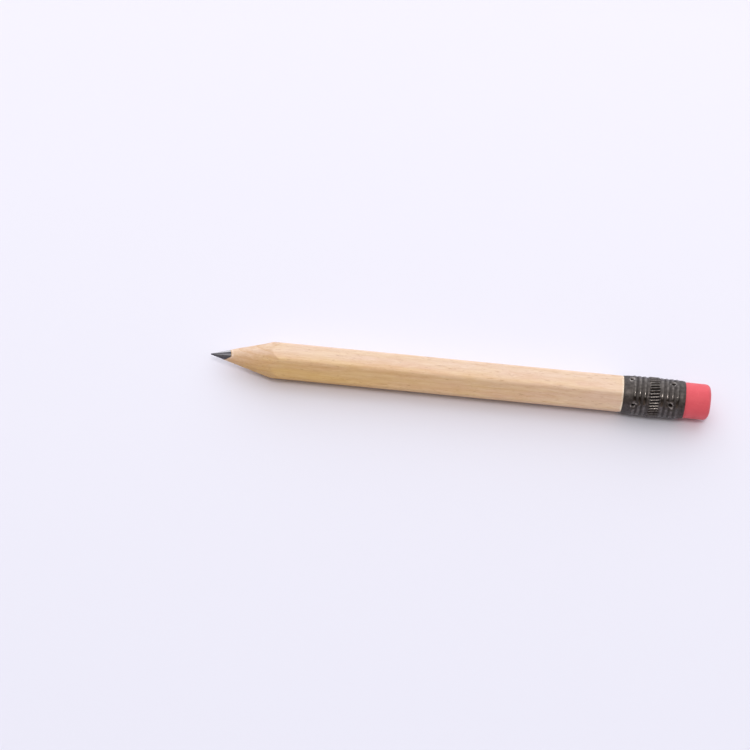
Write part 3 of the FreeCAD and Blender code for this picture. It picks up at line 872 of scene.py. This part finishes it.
def ferrule_finish():
    """Black gunmetal plating: glossy, rubbed brighter on the crests, dull in the grooves, with painted shade:
    near-black colour in the grooves, the gaps between the beads and the deep hollows.
    """
    finish = Finish("black_plated_metal")
    relief = finish.attribute("relief")
    groove = finish.attribute("groove")
    pierced = finish.attribute("pierced")
    mottle = finish.noise(1.3, 1.6, 3, roughness=0.6)
    grime = finish.noise(0.5, 0.6, 2)
    streaks = finish.noise(2.2, 0.9, 3, roughness=0.6)
    clouds = finish.remap(mottle, 0.35, 0.68)
    colour = finish.blend(clouds, (0.062, 0.054, 0.051), (0.119, 0.105, 0.100))
    colour = finish.blend(finish.remap(streaks, 0.44, 0.66, 0, 0.5), colour, (0.050, 0.044, 0.043))
    worn = finish.remap(mottle, 0.38, 0.6, 0.1, 0.75)
    crest = finish.math("MULTIPLY", finish.remap(relief, 0.07, 0.15), worn)
    colour = finish.blend(crest, colour, (0.185, 0.168, 0.156))
    # Painted shade: near-black colour in the deep hollows, the flutes and the gaps between the beads.
    valley_shade = finish.remap(relief, -0.38, -0.16, 0.9, 0.0)
    slot_shade = finish.math("MAXIMUM", valley_shade, finish.remap(groove, 0.25, 0.85, 0, 0.85))
    colour = finish.blend(slot_shade, colour, (0.014, 0.012, 0.012))
    lip = finish.math("MULTIPLY", pierced, finish.remap(relief, -0.14, 0.02))
    bare = finish.math("MULTIPLY", lip, finish.remap(mottle, 0.47, 0.56, 0.10, 1.0))
    colour = finish.blend(bare, colour, (0.50, 0.46, 0.44))
    polish = finish.remap(relief, 0.02, 0.11, 0.46, 0.10)
    roughness = finish.math("ADD", finish.remap(grime, 0.35, 0.65, 0, 0.06), polish)
    roughness = finish.math("ADD", roughness, finish.math("MULTIPLY", slot_shade, 0.3))
    normal = finish.bump(streaks, 0.012)
    normal = finish.bump(mottle, 0.022, normal)
    finish.set(base_color=colour, metallic=0.95, roughness=roughness, normal=normal)
    return finish.material


def eraser_finish():
    """Matte coral rubber: faint mottling, chalky bloom, fine pits, and painted shade in the prongs' holes."""
    finish = Finish("coral_rubber")
    mottle = finish.noise(0.45, 0.5, 3)
    bloom = finish.noise(1.6, 1.8, 3, roughness=0.65)
    pits = finish.noise(5.5, 5.5, 2)
    colour = finish.blend(finish.remap(mottle, 0.35, 0.7), (0.745, 0.098, 0.125), (0.70, 0.083, 0.108))
    colour = finish.blend(finish.remap(bloom, 0.55, 0.8, 0, 0.22), colour, (0.86, 0.26, 0.28))
    colour = finish.blend(finish.remap(pits, 0.62, 0.75, 0, 0.35), colour, (0.52, 0.05, 0.08))
    # Painted shade: near-black where a prong's hole shows the rubber.
    colour = finish.blend(finish.attribute("painted_hole_shade"), colour, PAINTED_HOLE_SHADE)
    normal = finish.bump(pits, 0.03)
    normal = finish.bump(bloom, 0.03, normal)
    finish.set(base_color=colour, roughness=finish.remap(bloom, 0.3, 0.7, 0.62, 0.8), normal=normal)
    finish.set(specular_ior_level=0.45, sheen_weight=0.12, sheen_roughness=0.5)
    return finish.material


def floor_finish():
    """A pale sheet with painted light: its colour is brighter towards the back (+Y)."""
    finish = Finish("pale_sheet")
    # Painted light: the sheet is painted brighter towards the back.
    painted_light = finish.remap(finish.axis("Y"), -0.10, 0.10)
    colour = finish.blend(painted_light, (0.715, 0.718, 0.822), (0.815, 0.808, 0.905))
    finish.set(base_color=colour, roughness=0.9, specular_ior_level=0.1)
    return finish.material


# ---------------------------------------------------------------- stage

FLOOR_REACH = 4.0


def make_floor():
    """A sheet that touches the ferrule's band and the front end of the lower flat."""
    front = cone_reach(HALF_FLATS)
    slope = (HALF_FLATS - ferrule_high.z) / ((BAND_FROM + BAND_TO) / 2 - front)

    def height(x):
        return (-HALF_FLATS + slope * (x / MM - front) - 0.02) * MM

    corners = [(-1, -1), (1, -1), (1, 1), (-1, 1)]
    points = [(x * FLOOR_REACH, y * FLOOR_REACH, height(x * FLOOR_REACH)) for x, y in corners]
    mesh = bpy.data.meshes.new("floor")
    mesh.from_pydata(points, [], [(0, 1, 2, 3)])
    mesh.materials.append(floor_finish())
    floor = bpy.data.objects.new("floor", mesh)
    bpy.context.scene.collection.objects.link(floor)


def direction(azimuth, elevation):
    """A unit vector towards a place seen from the pencil. Azimuth 0 is -Y, and 90 is +X."""
    a, e = math.radians(azimuth), math.radians(elevation)
    return Vector((math.sin(a) * math.cos(e), -math.cos(a) * math.cos(e), math.sin(e)))


def add_lamp(name, kind, azimuth, elevation, power, colour, **settings):
    """A lamp that shines at the pencil's middle, from a distance in metres."""
    lamp = bpy.data.lights.new(name, kind)
    lamp.energy = power
    lamp.color = colour
    distance = settings.pop("distance", 1.0)
    for key, value in settings.items():
        setattr(lamp, key, value)
    holder = bpy.data.objects.new(name, lamp)
    towards = direction(azimuth, elevation)
    holder.location = Vector((0.05, 0, 0)) + towards * distance
    holder.rotation_mode = "QUATERNION"
    holder.rotation_quaternion = towards.to_track_quat("Z", "Y")
    bpy.context.scene.collection.objects.link(holder)


SKY = [
    (0, (0.66, 0.52, 0.42)),
    (12, (0.50, 0.41, 0.35)),
    (24, (0.30, 0.24, 0.20)),
    (34, (0.14, 0.11, 0.09)),
    (48, (0.12, 0.095, 0.08)),
    (57, (1.06, 1.03, 1.00)),
    (100, (1.16, 1.15, 1.15)),
    (135, (1.55, 1.56, 1.60)),
    (180, (1.50, 1.52, 1.58)),
]
SKY_STRENGTH = 1.085
SKY_LEAN = 0.11
SIDE_RANGE = (0.5, 0.8)
SIDE_SHARE = 0.3


def make_world():
    """A white room, given by colours round the X axis in degrees from -Y over the top: dark behind
    the camera's stand, bright above it and behind the pencil. It is darker towards both ends of the
    pencil, and a little brighter at the point's."""
    world = bpy.data.worlds.new("studio")
    world.use_nodes = True
    tree = world.node_tree

    def node(kind, *inputs, **settings):
        made = tree.nodes.new(kind)
        for name, value in settings.items():
            setattr(made, name, value)
        for socket, value in zip(made.inputs, inputs):
            if isinstance(value, bpy.types.NodeSocket):
                tree.links.new(value, socket)
            else:
                socket.default_value = value
        return made

    place = node("ShaderNodeTexCoord").outputs["Generated"]
    parts = node("ShaderNodeSeparateXYZ", place).outputs
    front = node("ShaderNodeMath", parts["Y"], -1.0, operation="MULTIPLY").outputs[0]
    rise = node("ShaderNodeMath", parts["Z"], 0.0, operation="MAXIMUM").outputs[0]
    turn = node("ShaderNodeMath", rise, front, operation="ARCTAN2").outputs[0]
    share = node("ShaderNodeMath", turn, math.pi, operation="DIVIDE").outputs[0]
    ramp = node("ShaderNodeValToRGB", share)
    stops = ramp.color_ramp.elements
    while len(stops) < len(SKY):
        stops.new(0.5)
    for stop, (degrees, colour) in zip(stops, SKY):
        stop.position = degrees / 180
        stop.color = (*colour, 1)
    lean = node("ShaderNodeMath", parts["X"], -SKY_LEAN, SKY_STRENGTH, operation="MULTIPLY_ADD").outputs[0]
    sideways = node("ShaderNodeMath", parts["X"], 0.0, operation="ABSOLUTE").outputs[0]
    sides = node("ShaderNodeMapRange", sideways, *SIDE_RANGE, 1.0, SIDE_SHARE).outputs[0]
    strength = node("ShaderNodeMath", lean, sides, operation="MULTIPLY").outputs[0]
    background = tree.nodes["Background"]
    tree.links.new(ramp.outputs["Color"], background.inputs["Color"])
    tree.links.new(strength, background.inputs["Strength"])
    bpy.context.scene.world = world


def make_lights():
    """One small soft box, higher than the camera and further from the pencil."""
    add_lamp("soft_box", "AREA", 3, 71, 11.0, (1.0, 0.97, 0.93), distance=2.2, size=0.42)


CAMERA_AZIMUTH = -2.5
CAMERA_ELEVATION = 56.7
CAMERA_ROLL = 7.65
CAMERA_DISTANCE = 0.600
CAMERA_LENS = 144.8
CAMERA_TARGET = Vector((32.9, -1.2, 0)) * MM


def make_camera():
    """Looks down across the pencil, from slightly towards the point."""
    camera = bpy.data.cameras.new("camera")
    camera.lens = CAMERA_LENS
    camera.clip_start = 0.01
    holder = bpy.data.objects.new("camera", camera)
    towards = direction(CAMERA_AZIMUTH, CAMERA_ELEVATION)
    right = Vector((0, 0, 1)).cross(towards).normalized()
    turn = Matrix.Rotation(math.radians(CAMERA_ROLL), 3, towards)
    right = turn @ right
    up = towards.cross(right)
    basis = Matrix((right, up, towards)).transposed().to_4x4()
    holder.matrix_world = Matrix.Translation(CAMERA_TARGET + towards * CAMERA_DISTANCE) @ basis
    bpy.context.scene.collection.objects.link(holder)
    bpy.context.scene.camera = holder


# ---------------------------------------------------------------- build

make_ferrule(ferrule_finish())
make_slat("upper_slat_wood", "upper_slat", 1, wood_finish("upper_wood", (9.0, 13.0), 1))
make_slat("lower_slat_wood", "lower_slat", -1, wood_finish("lower_wood", (-14.0, 6.0), 2))
make_glue(glue_finish())
make_lead(graphite_finish())
make_eraser(eraser_finish())
make_floor()
make_world()
make_lights()
make_camera()
bpy.context.scene.view_settings.view_transform = "Standard"
